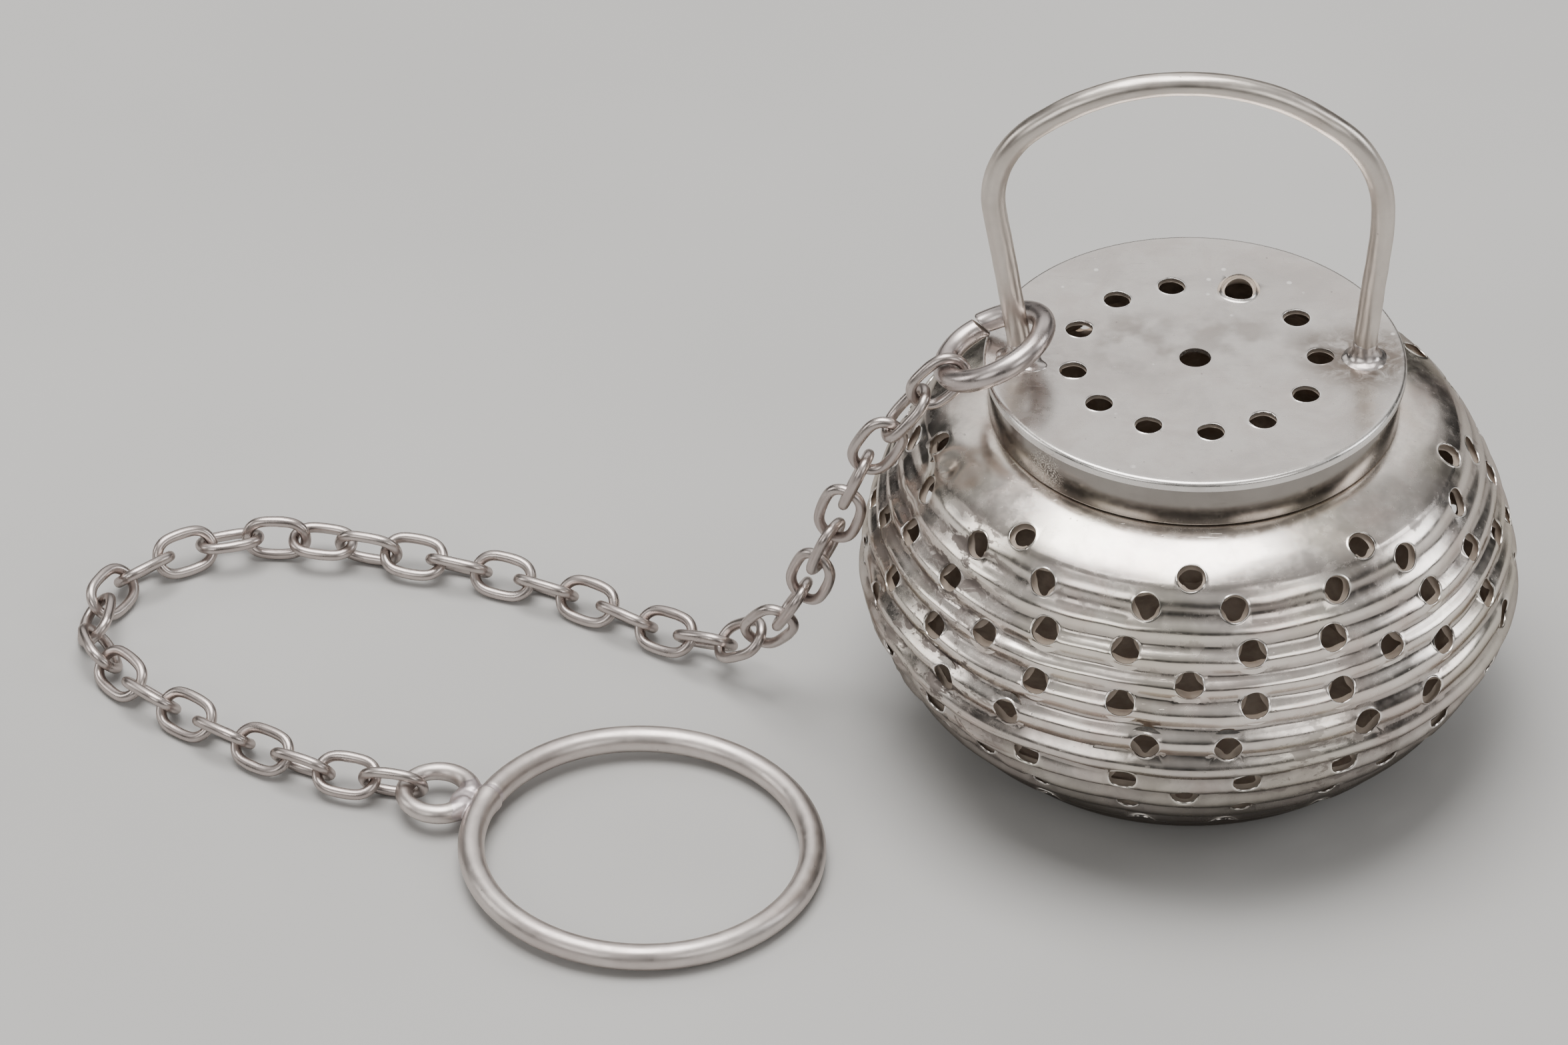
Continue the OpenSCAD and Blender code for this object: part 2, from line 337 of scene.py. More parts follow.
def ball_marks(sh, colour, roughness, normal):
    """The ball's marks: a golden tint, painted shade in the grooves, darkening low down that is
    partly patina and partly a painted dark reflection, a brown line, dirt.
    """
    split = sh.node("ShaderNodeSeparateXYZ")
    sh.put(split.inputs[0], sh.place)
    height = split.outputs["Z"]
    cloud = sh.noise(sh.place, 0.5, 5.0, 0.65, 0.5)
    groove = sh.attribute("low")
    gold = sh.noise(sh.math3("ADD", sh.place, (17.0, 2.0, 9.0)), 0.15, 2.0, 0.5)
    colour = sh.mix(sh.step(gold, 0.46, 0.64, 0.0, 0.5), colour, (0.80, 0.75, 0.63))
    # Painted shade: the grooves between the ribs are darkened where shade falls.
    shade = sh.step(groove, 0.35, 0.95, 0.0, 0.5)
    colour = sh.mix(shade, colour, (0.30, 0.265, 0.25))
    # Darker towards the bottom: partly patina, partly a painted reflection of a dark ground under
    # the ball. It is stronger in grooves and weaker on worn rims.
    deep = sh.plus(0.84, sh.times(groove, 0.16))
    low = sh.step(sh.plus(height, sh.times(cloud, 5.0)), 7.0, 18.0, 1.0, 0.0)
    low = sh.times(low, deep)
    worn = sh.times(sh.attribute("rim"), 0.8)
    low = sh.times(low, sh.math("SUBTRACT", 1.0, worn))
    colour = sh.mix(low, colour, (0.125, 0.114, 0.106))
    out = sh.math3("LENGTH", sh.math3("MULTIPLY", sh.place, (1, 1, 0)))
    ring = sh.step(sh.plus(out, sh.times(cloud, 0.5)), 13.1, 13.4, 0.35, 0.0)
    ring = sh.times(ring, sh.step(height, 23.0, 23.4))
    colour = sh.mix(ring, colour, (0.26, 0.19, 0.14))
    for point, reach, power in DIRTY_AREAS:
        area = sh.near(point, 0.3 * reach, reach)
        drawn = sh.math3("MULTIPLY", sh.math3("ADD", sh.place, point), (0.45, 0.45, 1.0))
        dirt = sh.noise(drawn, 1.2, 5.0, 0.68, 0.4)
        dirt = sh.plus(dirt, sh.times(groove, 0.10))
        dirt = sh.times(sh.step(dirt, 0.55, 0.62), area)
        colour = sh.tint(colour, dirt, power, (0.17, 0.145, 0.135))
        roughness = sh.rougher(roughness, dirt, 0.2)
    roughness = sh.rougher(roughness, ring, 0.3)
    return colour, roughness, normal


def band_marks(sh, colour, roughness, normal):
    """A patch of crossed scratches on the band's left."""
    patch = sh.near((-9.6, -8.7, 25.2), 0.6, 1.9)
    fine = scratches(sh, sh.place, ((0, 20, 10), (0, 60, -20), (10, 35, 40)), 0.5, 14.0, 0.58)
    fine = sh.times(fine, patch)
    colour = sh.mix(fine, colour, (0.95, 0.90, 0.84))
    roughness = sh.rougher(roughness, fine, 0.25)
    return colour, roughness, sh.bump(fine, 0.02, 0.8, normal)


def interior(name, dark, light):
    """Metal brown with old tea stain."""
    sh = Shader(name)
    cloud = sh.noise(sh.place, 0.35, 5.0, 0.65, 0.5)
    colour = sh.mix(sh.step(cloud, 0.35, 0.7), dark, light)
    rim = sh.attribute("rim")
    colour = sh.tint(colour, rim, 0.5, (0.62, 0.55, 0.48))
    return sh.finish(colour, sh.step(cloud, 0.3, 0.7, 0.8, 0.62), sh.bump(cloud, 0.03, 0.5), 0.25)


def floor_material():
    sh = Shader("floor_pale")
    cloud = sh.noise(sh.place, 0.02, 3.0)
    colour = sh.mix(sh.step(cloud, 0.3, 0.7), (0.44, 0.435, 0.427), (0.47, 0.465, 0.457))
    return sh.finish(colour, 0.5, None, 0.0)


# -------------------- mesh helpers

MERGE_DISTANCE = 1e-6
HOLE_R = 0.85
HALF_BLOCK = 1.04  # how far an ordinary hole's block of cells reaches from its middle
# How far round its rounded end a wire's last rings sit, in radians.
END_TURNS = (1.5, 1.1, 0.6)


def wobble(point, scale, seed):
    """Smooth noise from -1 to 1 at a point in millimetres."""
    x, y, z = point
    return noise.noise(Vector((x * scale + seed, y * scale - seed, z * scale + 2 * seed)))


def piece(name, points, faces, marks, body, slot, materials, nodes=(), sharp=40):
    """Makes a mesh object from points in millimetres, with its marks, and puts it on its body."""
    mesh = bpy.data.meshes.new(name)
    mesh.from_pydata([tuple(float(x) * MM for x in p) for p in points], [], faces)
    for key, values in marks.items():
        kind = "FLOAT_VECTOR" if np.ndim(values) == 2 else "FLOAT"
        layer = mesh.attributes.new(key, kind, "POINT")
        field = "vector" if kind == "FLOAT_VECTOR" else "value"
        layer.data.foreach_set(field, np.asarray(values, np.float32).ravel())
    obj = placed(name, mesh)
    for m in materials:
        mesh.materials.append(m)
    smooth(obj, sharp)
    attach(obj, body)
    if nodes:
        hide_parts(*nodes)
    return obj


def smooth(obj, sharp):
    mesh = obj.data
    mesh.polygons.foreach_set("use_smooth", [True] * len(mesh.polygons))
    mesh.set_sharp_from_angle(angle=math.radians(sharp))
    mesh.update()


def apply_modifiers(obj, sharp=40):
    """Turns the modified shape into the object's own mesh."""
    graph = bpy.context.evaluated_depsgraph_get()
    shape = obj.evaluated_get(graph)
    made = bpy.data.meshes.new_from_object(shape, preserve_all_data_layers=True, depsgraph=graph)
    old = obj.data
    obj.modifiers.clear()
    obj.data = made
    bpy.data.meshes.remove(old)
    smooth(obj, sharp)


def thicken(obj, thickness):
    """Gives a sheet its thickness in millimetres, inwards, with the second material inside."""
    skin = obj.modifiers.new("skin", "SOLIDIFY")
    skin.thickness = thickness * MM
    skin.offset = -1
    skin.use_even_offset = False
    skin.material_offset = 1
    skin.material_offset_rim = 0
    apply_modifiers(obj, 50)


def merge_close(obj):
    bm = bmesh.new()
    bm.from_mesh(obj.data)
    bmesh.ops.remove_doubles(bm, verts=bm.verts, dist=MERGE_DISTANCE)
    bmesh.ops.recalc_face_normals(bm, faces=bm.faces)
    bm.to_mesh(obj.data)
    bm.free()


def smooth_line(control, spacing):
    """Catmull-Rom curve through control points, sampled about every spacing."""
    p = [np.array(c, float) for c in control]
    out = []
    for i in range(len(p) - 1):
        a, b, c, d = p[max(i - 1, 0)], p[i], p[i + 1], p[min(i + 2, len(p) - 1)]
        count = max(1, int(np.linalg.norm(c - b) / spacing))
        for k in range(count):
            t = k / count
            square = (2 * a - 5 * b + 4 * c - d) * t**2
            cube = (3 * b - a - 3 * c + d) * t**3
            out.append((2 * b + (c - a) * t + square + cube) / 2)
    out.append(p[-1])
    return np.array(out)


class Sheet:
    """A sheet of revolution with punched holes.

    The grid's cells round each hole give way to rings of faces. ring_steps are the rings'
    distances from the edge, ring_lifts their shares of the lip's height, and ring_levels how
    far each is flattened.
    """

    ring_steps = (0.17, 0.10, 0.065, 0.04, 0.015, 0.0)
    ring_lifts = (0.0, 0.25, 0.8, 1.0, 0.6, 0.0)
    ring_levels = (0.0, 0.15, 0.28, 0.38, 0.45, 0.45)
    # A hole with a high lip was punched askew: its edge is bent up most on one side.
    bent_lift, bent_way = 0.42, math.radians(-67)
    # A lip higher than this is a high one, and is wider by so much for each millimetre over it.
    plain_lift, spread_rate = 0.06, 8
    # How much further a hole's block reaches for each step of that width.
    block_share = 0.25
    edge_drop = 0.05
    level_samples = 8

    def __init__(self, profile, columns, rows, relief, flow_reach):
        self.line = np.array(profile, float)
        step = np.linalg.norm(np.diff(self.line, axis=0), axis=1)
        self.s = np.concatenate([[0], np.cumsum(step)])
        tangent = np.gradient(self.line, self.s, axis=0)
        tangent /= np.linalg.norm(tangent, axis=1)[:, None]
        self.normal = np.stack([tangent[:, 1], -tangent[:, 0]], axis=1)
        self.columns = columns
        self.rows = np.array(rows, float)
        self.relief = relief
        self.flow_reach = flow_reach
        self.points, self.low, self.rim, self.flow, self.faces = [], [], [], [], []

    def spread(self, lift):
        """How much wider a high lip is than an ordinary one."""
        return 1 + self.spread_rate * max(0.0, lift - self.plain_lift)

    def at(self, s):
        r = np.interp(s, self.s, self.line[:, 0])
        z = np.interp(s, self.s, self.line[:, 1])
        return r, z

    def s_of_height(self, z):
        return float(np.interp(z, self.line[:, 1], self.s))

    def add(self, a, s, lift=0.0, rim=0.0, level=0.0, flat=0.0):
        """Adds a point at an angle and a length along the outline, and gives its number."""
        r, z = self.at(s)
        nr = np.interp(s, self.s, self.normal[:, 0])
        nz = np.interp(s, self.s, self.normal[:, 1])
        height, low = self.relief(a, s, r, z)
        h = height + (level - height) * flat + lift
        x, y = math.cos(a), math.sin(a)
        self.points.append(((r + nr * h) * x, (r + nr * h) * y, z + nz * h))
        self.low.append(low)
        self.rim.append(rim)
        self.flow.append((self.flow_reach * x, self.flow_reach * y, s))
        return len(self.points) - 1

    def build(self, holes):
        """Makes the faces. holes are (angle, length along the outline, radius, lip height)."""
        turn = TAU / self.columns
        gone = np.zeros((len(self.rows) - 1, self.columns), bool)
        blocks = []
        for angle, s, radius, lift in holes:
            a = math.radians(angle) % TAU
            r = self.at(s)[0]
            share = self.block_share
            reach = HALF_BLOCK + radius - HOLE_R + share * self.spread(lift) - share
            i0 = math.floor((a - reach / r) / turn)
            i1 = math.ceil((a + reach / r) / turn)
            j0 = int(np.searchsorted(self.rows, s - reach, "right")) - 1
            j1 = int(np.searchsorted(self.rows, s + reach, "left"))
            for j in range(j0, j1):
                for i in range(i0, i1):
                    if gone[j, i % self.columns]:
                        raise ValueError(f"holes at {angle:.1f}, {s:.2f} overlap")
                    gone[j, i % self.columns] = True
            blocks.append((a, s, radius, lift, i0, i1, j0, j1))
        grid = {}

        def corner(j, i):
            key = (j, i % self.columns)
            if key not in grid:
                grid[key] = self.add(key[1] * turn, float(self.rows[j]))
            return grid[key]

        for j in range(len(self.rows) - 1):
            for i in range(self.columns):
                if not gone[j, i]:
                    lower = corner(j, i), corner(j, i + 1)
                    self.faces.append((*lower, corner(j + 1, i + 1), corner(j + 1, i)))
        for a, s, radius, lift, i0, i1, j0, j1 in blocks:
            loop = [(j0, i) for i in range(i0, i1)] + [(j, i1) for j in range(j0, j1)]
            loop += [(j1, i) for i in range(i1, i0, -1)] + [(j, i0) for j in range(j1, j0, -1)]
            last = [corner(j, i) for j, i in loop]
            polar = []
            for j, i in loop:
                v = float(self.rows[j]) - s
                polar.append(math.atan2(v, (i * turn - a) * self.at(s + v)[0]))
            spread = self.spread(lift)
            bent = spread > 1
            # The punch flattened the sheet round each hole to the mean height of its edge.
            level = 0.0
            for k in range(self.level_samples):
                q = TAU * k / self.level_samples
                v = radius * math.sin(q)
                r, z = self.at(s + v)
                height = self.relief(a + radius * math.cos(q) / r, s + v, r, z)[0]
                level += height / self.level_samples
            for step, raised, flat in zip(self.ring_steps, self.ring_lifts, self.ring_levels):
                ring = []
                for phi in polar:
                    where = (math.cos(phi) + a, math.sin(phi), s)
                    rough = 1 + (0.005 if bent else 0.022) * wobble(where, 1.7, 4.0)
                    d = (radius + step * spread) * rough
                    u, v = d * math.cos(phi), d * math.sin(phi)
                    if bent:
                        one_side = (0.5 + 0.5 * math.cos(phi - self.bent_way)) ** 2
                        high = raised * (lift + self.bent_lift * one_side)
                    else:
                        high = raised * (lift + 0.04 * wobble(where, 1.3, 9.0))
                    drop = self.edge_drop if step == 0.0 else 0.0
                    worn = min(1.0, 1.3 * raised + 0.1)
                    way = a + u / self.at(s + v)[0]
                    ring.append(self.add(way, s + v, high - drop, worn, level, flat))
                n = len(loop)
                for k in range(n):
                    m = (k + 1) % n
                    self.faces.append((last[k], last[m], ring[m], ring[k]))
                last = ring

    def marks(self):
        return {"low": self.low, "rim": self.rim, "flow": np.array(self.flow)}


def tube(path, radius, sides=20, closed=False, end_round=0.25):
    """A wire along a path in millimetres, as points, faces and marks.

    radius(along, around) gives its radius.
    """
    path = np.array(path, float)
    count = len(path)
    after = np.roll(path, -1, axis=0) - path
    before = path - np.roll(path, 1, axis=0)
    tangent = after + before
    if not closed:
        tangent[0], tangent[-1] = after[0], before[-1]
    tangent /= np.linalg.norm(tangent, axis=1)[:, None]
    along = np.concatenate([[0], np.cumsum(np.linalg.norm(np.diff(path, axis=0), axis=1))])
    # The frame is carried along the path; on a closed path its leftover twist is spread evenly.
    side = np.cross(tangent[0], [0.13, 0.41, 0.9])
    sides_at = [side / np.linalg.norm(side)]
    for t in tangent[1:]:
        v = sides_at[-1] - t * np.dot(sides_at[-1], t)
        sides_at.append(v / np.linalg.norm(v))
    twist = 0.0
    if closed:
        v = sides_at[-1] - tangent[0] * np.dot(sides_at[-1], tangent[0])
        v /= np.linalg.norm(v)
        other = np.cross(tangent[0], sides_at[0])
        twist = -math.atan2(np.dot(v, other), np.dot(v, sides_at[0]))
    rings = [(i, 1.0, 0.0) for i in range(count)]
    if not closed:
        start = []
        for q in END_TURNS:
            start.append((0, 1 - end_round * (1 - math.cos(q)), -end_round * 0.7 * math.sin(q)))
        finish = [(count - 1, k, -d) for _, k, d in reversed(start)]
        rings = start + rings + finish
    points, flow, faces = [], [], []
    for i, shrink, push in rings:
        u = sides_at[i]
        w = np.cross(tangent[i], u)
        spin = twist * i / count
        for k in range(sides):
            q = TAU * k / sides + spin
            r = radius(along[i], q) * shrink
            points.append(path[i] + tangent[i] * push + r * (u * math.cos(q) + w * math.sin(q)))
            flow.append((along[i] * 0.25, r * math.cos(q) * 2, r * math.sin(q) * 2))
    n = len(rings)
    for i in range(n if closed else n - 1):
        for k in range(sides):
            m = (k + 1) % sides
            j = (i + 1) % n
            faces.append((i * sides + k, i * sides + m, j * sides + m, j * sides + k))
    if not closed:
        for i, direction in ((0, -1), (n - 1, 1)):
            ring = list(range(i * sides, (i + 1) * sides))
            faces.append(tuple(ring if direction > 0 else ring[::-1]))
    total = len(points)
    return points, faces, {"low": np.zeros(total), "rim": np.zeros(total), "flow": np.array(flow)}


def arc(centre, axes, radius, start, sweep, count, closed=False):
    """Points on a circle. axes is a 3x3 matrix whose first two columns span its plane."""
    axes = np.array(axes)
    steps = count if closed else count + 1
    out = []
    for k in range(steps):
        q = math.radians(start + sweep * k / count)
        way = axes[:, 0] * math.cos(q) + axes[:, 1] * math.sin(q)
        out.append(np.array(centre) + radius * way)
    return out


def turned(x, y, z):
    """Rotation matrix for angles in degrees, applied about X, then Y, then Z."""
    m = Matrix.Rotation(math.radians(z), 3, "Z") @ Matrix.Rotation(math.radians(y), 3, "Y")
    return np.array(m @ Matrix.Rotation(math.radians(x), 3, "X"))


# -------------------- ball

BELLY_Z, BALL_R = 11.0, 21.0
LOW_REACH, LOW_POWER = 16.8, 1.5
TOP_REACH, TOP_POWER = 21.0, 1.8
GROOVES = (0.7, 2.4, 4.2, 6.0, 7.9, 9.8, 11.9, 13.9, 15.8, 17.4, 19.0, 20.7, 22.3)
HOLE_GROUPS, GROUP_STEP, FIRST_GROUP = 9, 40, -92.5
BALL_SHEET = 0.5
HOOP_BEAD, HOOP_COLUMNS = 0.15, 256


def belly(z):
    """The ball's radius at a height."""
    if z < BELLY_Z:
        return BALL_R * (1 - ((BELLY_Z - z) / LOW_REACH) ** LOW_POWER) ** (1 / LOW_POWER)
    return BALL_R * (1 - ((z - BELLY_Z) / TOP_REACH) ** TOP_POWER) ** (1 / TOP_POWER)


# Dents on the side where the chain knocks: angle, height, reach along and up, depth.
DENTS = (
    (-170, 21.4, 1.5, 0.9, 0.34),
    (-177, 22.2, 1.2, 0.8, 0.26),
    (-163, 22.6, 1.1, 0.5, 0.28),
    (-156, 22.9, 1.0, 0.4, 0.20),
    (-166, 19.6, 1.4, 0.8, 0.24),
    (-157, 9.6, 3.2, 1.6, 0.35),
    (-147, 7.6, 2.6, 1.1, 0.30),
    (-151, 11.4, 1.8, 1.0, 0.22),
    (-139, 9.3, 1.6, 0.8, 0.22),
    (-134, 6.6, 2.2, 0.9, 0.25),
    (-166, 14.6, 2.0, 1.4, 0.22),
    (-172, 12.0, 2.4, 1.6, 0.30),
    (-84, 9.2, 2.6, 0.7, 0.12),
    (-68, 9.6, 2.2, 0.6, 0.12),
    (-48, 6.2, 2.4, 0.9, 0.16),
    (-32, 8.2, 2.0, 1.0, 0.14),
    (150, 9.0, 3.0, 1.5, 0.20),
    (70, 12.0, 4.0, 2.0, 0.15),
    (20, 8.0, 3.0, 1.2, 0.18),
)


# Areas crumpled into small facets, in the same terms.
CRUMPLES = (
    (-167, 21.7, 4.2, 0.8, 0.34),
    (-150, 8.6, 5.0, 2.2, 0.36),
    (-132, 7.8, 2.6, 1.4, 0.24),
    (-75, 9.2, 3.4, 0.8, 0.20),
    (118, 10.0, 3.0, 1.4, 0.30),
)


def ball_relief(a, s, r, z):
    """Height of the ball's surface over its smooth outline, and how deep in a groove it is."""
    x, y = math.cos(a), math.sin(a)
    place = (r * x, r * y, z)
    wave = z + 0.22 * wobble((x * 20, y * 20, 0), 0.10, 2.0) + 0.10 * wobble(place, 0.35, 5.0)
    low = 0.0
    depth = 0.0
    if GROOVES[0] - 0.5 < wave < GROOVES[-1] + 0.9:
        k = float(np.interp(wave, GROOVES, range(len(GROOVES))))
        sharp = float(np.interp(z, (5, 12, 20), (1.0, 0.7, 0.15)))
        crease = 1 - min(1.0, math.sqrt(math.sin(math.pi * k) ** 2 + 0.004))
        valley = sharp * crease + (1 - sharp) * (0.5 + 0.5 * math.cos(TAU * k))
        if wave > GROOVES[-1]:
            valley = max(0.0, 1 - (wave - GROOVES[-1]) / 0.8)
        if wave < GROOVES[0]:
            valley = 1.0
        size = np.interp(z, (0, 6, 12, 17, 20, 22.3), (0.40, 0.42, 0.40, 0.34, 0.19, 0.06))
        size *= 1 + 0.35 * wobble((x * 20, y * 20, round(k) * 9), 0.16, 7.0)
        size *= 1 + 0.4 * max(0.0, math.cos(a - math.radians(-150)))
        depth = size * valley
        low = valley
    sway = 0.10 * wobble(place, 0.12, 1.0) + 0.022 * wobble(place, 0.3, 3.0)
    sway += 0.002 * wobble(place, 0.9, 6.0)
    dent = 0.0
    for angle, height, wide, tall, deep in DENTS:
        off = (a - math.radians(angle) + math.pi) % TAU - math.pi
        u, v = off * r / wide, (z - height) / tall
        d = u * u + v * v
        if d < 6:
            dent += deep * math.exp(-d) * (1 + 0.35 * wobble(place, 0.5, angle))
    crumple = 0.0
    for angle, height, wide, tall, deep in CRUMPLES:
        off = (a - math.radians(angle) + math.pi) % TAU - math.pi
        d = (off * r / wide) ** 2 + ((z - height) / tall) ** 2
        if d < 5:
            crumple += deep * math.exp(-d) * abs(wobble(place, 0.48, angle))
    edge = min(1.0, max(0.0, (24.0 - z) / 0.8)) * min(1.0, z / 0.8)
    return (sway - depth - dent - crumple) * edge, low


def hole_places():
    """Angle, height and noise key of every hole, in groups that are each a little different."""
    upper = [(0, 22.6), (-9, 21.1), (9, 21.1), (-12, 18.6), (12, 18.6), (0, 16.9)]
    upper += [(-12, 15.4), (12, 15.4), (-7, 12.6), (7, 12.6)]
    lower = [(-11, 9.6), (11, 9.6), (0, 8), (-11, 6.4), (11, 6.4), (-9, 3.2), (9, 3.2)]
    for g in range(HOLE_GROUPS):
        for n, (angle, z) in enumerate(upper + lower):
            key = (g * 3.1, n * 1.7, 0.0)
            around = FIRST_GROUP + g * GROUP_STEP + angle + 0.5 * wobble(key, 1.0, 11.0)
            yield around, z + 0.12 * wobble(key, 1.0, 17.0), key


def build_ball(outside, inside):
    side = [(belly(z), z) for z in np.arange(0.7, 22.31, 0.15)]
    neck = [(15.9, 22.85), (14.7, 23.4), (13.5, 23.85), (12.5, 24.0)]
    shoulder = smooth_line(side[-2:] + neck, 0.12)[1:]
    foot = [(r, 0.0) for r in (0.0, 4.0, 8.0, 11.2)] + [(11.9, 0.06), (12.35, 0.2), (12.8, 0.4)]
    profile = foot + side + [tuple(p) for p in shoulder[1:]]
    step = np.linalg.norm(np.diff(np.array(profile), axis=0), axis=1)
    length = float(step.sum())
    start = float(step[:3].sum())
    rows = [0.0, 2.0, 4.0, 6.0, 8.0, 10.0]
    rows += list(np.linspace(start, length, int((length - start) / 0.18)))
    sheet = Sheet(profile, 512, rows, ball_relief, 3.5)
    holes = []
    for angle, z, key in hole_places():
        radius = 1.03 * HOLE_R * (1 + 0.05 * wobble(key, 1.0, 23.0))
        holes.append((angle, sheet.s_of_height(z), radius, 0.035))
    sheet.build(holes)
    mats = [outside, inside]
    shape = sheet.points, sheet.faces, sheet.marks()
    obj = piece("ball_shell", *shape, "ball", "ball_silver", mats, ["ball"])
    merge_close(obj)
    thicken(obj, BALL_SHEET)


def hoop_profile(r_out, r_in, low, high):
    """Closed section of a tube with rounded edges, as (radius, height) points."""
    out = []
    bead = HOOP_BEAD
    mid, half = (r_out + r_in) / 2, (r_out - r_in) / 2
    for turn, level in ((math.pi, low + bead), (0.0, high - bead)):
        for k in range(7):
            q = turn + math.pi * k / 6
            out.append((mid + half * math.cos(q), level + bead * math.sin(q)))
    return out


def build_hoop(name, section, sway, body, slot, material, node):
    """A closed section swept round the axis, with a slight unevenness."""
    points, flow, rim, low, faces = [], [], [], [], []
    n = len(section)
    top = max(z for _, z in section)
    base = min(z for _, z in section)
    for i in range(HOOP_COLUMNS):
        a = TAU * i / HOOP_COLUMNS
        for r, z in section:
            d = sway * wobble((20 * math.cos(a), 20 * math.sin(a), z * 2), 0.1, 8.0)
            points.append(((r + d) * math.cos(a), (r + d) * math.sin(a), z))
            flow.append((3 * math.cos(a), 3 * math.sin(a), z + r))
            rim.append(0.6 if z > top - 0.1 or z < base + 0.1 else 0.0)
            low.append(0.5 if z < base + 0.3 else 0.0)
    for i in range(HOOP_COLUMNS):
        j = (i + 1) % HOOP_COLUMNS
        for k in range(n):
            m = (k + 1) % n
            faces.append((i * n + k, j * n + k, j * n + m, i * n + m))
    marks = {"low": low, "rim": rim, "flow": np.array(flow)}
    merge_close(piece(name, points, faces, marks, body, slot, [material], [node]))


# -------------------- lid

LID_R, LID_TOP, LID_LOW = 13.25, 27.5, 26.9
LID_SHEET, LID_BEND = 0.3, 0.3
MIDDLE_HOLE_R, HOLE_CIRCLE_R = 1.0, 7.8
FLARED_R, FLARED_LIFT = 1.04, 0.14
# Angles of the plain holes in the lid's ring of twelve, and of the one that was bent up.
LID_HOLES = (127, 99, 33, 1, -30, -59, -85, -114, -142, -170, 157)
FLARED_HOLE = 67


def lid_relief(a, s, r, z):
    x, y = r * math.cos(a), r * math.sin(a)
    sway = 0.035 * wobble((x, y, 0), 0.11, 3.0) + 0.012 * wobble((x, y, 0), 0.35, 5.0)
    ease = min(1.0, max(0.0, (LID_R - r) / 1.5))
    return sway * ease - 0.02 * ease, 0.0


def build_lid(material, under):
    edge = [(LID_R, LID_LOW), (LID_R, LID_LOW + 0.15)]
    for k in range(9):
        q = math.pi / 2 * k / 8
        out, up = LID_BEND * math.cos(q), LID_BEND * math.sin(q)
        edge.append((LID_R - LID_BEND + out, LID_TOP - LID_BEND + up))
    flat = [(r, LID_TOP) for r in np.linspace(12.8, MIDDLE_HOLE_R, 60)]
    profile = edge + flat
    length = float(np.linalg.norm(np.diff(np.array(profile), axis=0), axis=1).sum())
    crown = 0.8
    rows = list(np.linspace(0, crown, 12))
    rows += list(np.linspace(crown, length, int((length - crown) / 0.2)))[1:]
    sheet = Sheet(profile, 400, rows, lid_relief, 3.0)
    s_ring = length - (HOLE_CIRCLE_R - MIDDLE_HOLE_R)
    holes = [(a, s_ring + 0.2 * wobble((a, 0, 0), 0.3, 2.0), HOLE_R, 0.02) for a in LID_HOLES]
    holes.append((FLARED_HOLE, s_ring, FLARED_R, FLARED_LIFT))
    sheet.build(holes)
    marks = sheet.marks()
    for k, (x, y, z) in enumerate(sheet.points):
        worn = float(np.interp(math.hypot(x, y), (12.85, 13.1), (0, 0.8)))
        marks["rim"][k] = max(marks["rim"][k], worn)
    mats = [material, under]
    shape = sheet.points, sheet.faces, marks
    obj = piece("lid_plate", *shape, "lid", "lid_silver", mats, ["lid_disc"])
    thicken(obj, LID_SHEET)


# -------------------- bail and solder

# The bail's corners as (x, height over the lid), and how round each is bent.
BAIL_POINTS = (
    (-11, 0), (-11, 1.2), (-13.4, 15.3), (-5.7, 20.7), (3.7, 20.6),
    (11.3, 15.1), (11.3, 9.5), (10.6, 1.8), (10.6, 0),
)
BAIL_BENDS = (0, 4, 6.5, 14, 14, 8, 16, 8, 0)
BAIL_R = 0.75
# Each foot's x and its pools of solder: where each is beside the foot, and its three radii.
FOOT_POOLS = (
    (-11.0, (
        (-0.4, -0.5, 1.2, 1.0, 0.30),
        (0.7, -0.8, 1.1, 0.8, 0.26),
        (-0.7, 0.4, 0.8, 0.7, 0.26),
    )),
    (10.6, (
        (0.1, -0.5, 1.15, 0.95, 0.34),
        (-0.5, -0.1, 1.0, 0.85, 0.28),
        (0.5, 0.3, 0.9, 0.85, 0.26),
    )),
)


def bent_line(points, bends, spacing):
    """Straight lines with round bends, as points at most about spacing apart."""
    p = [np.array(q, float) for q in points]
    out = [p[0]]
    for i in range(1, len(p) - 1):
        u = (p[i - 1] - p[i]) / np.linalg.norm(p[i - 1] - p[i])
        v = (p[i + 1] - p[i]) / np.linalg.norm(p[i + 1] - p[i])
        half = math.acos(np.clip(np.dot(u, v), -1, 1)) / 2
        cut = bends[i] / math.tan(half)
        centre = p[i] + (u + v) / np.linalg.norm(u + v) * bends[i] / math.sin(half)
        a, b = p[i] + u * cut - centre, p[i] + v * cut - centre
        total = math.acos(np.clip(np.dot(a, b) / bends[i] ** 2, -1, 1))
        steps = max(2, int(total * bends[i] / spacing))
        for k in range(steps + 1):
            t = k / steps
            w = (math.sin((1 - t) * total) * a + math.sin(t * total) * b) / math.sin(total)
            out.append(centre + w)
    out.append(p[-1])
    fine = [out[0]]
    for q in out[1:]:
        gap = np.linalg.norm(q - fine[-1])
        start = fine[-1]
        count = max(1, int(round(gap / spacing)))
        fine += [start + (q - start) * (k + 1) / count for k in range(count)]
    return np.array(fine)


def wire_radius(r, seed, uneven=0.02, flats=0.012):
    """Radius of a drawn wire that was bent and rubbed by hand."""

    def radius(along, around):
        place = (along, 3 * math.cos(around), 3 * math.sin(around))
        return r * (1 + uneven * wobble(place, 0.25, seed) + flats * wobble(place, 0.9, seed + 3))

    return radius


def build_bail(material):
    line = bent_line(BAIL_POINTS, BAIL_BENDS, 0.35)
    path = [(x, 0.0, LID_TOP + h) for x, h in line]
    shape = tube(path, wire_radius(BAIL_R, 12.0, 0.035, 0.03), 28)
    piece("bail_wire", *shape, "lid", "wire_silver", [material], ["bail_handle"])


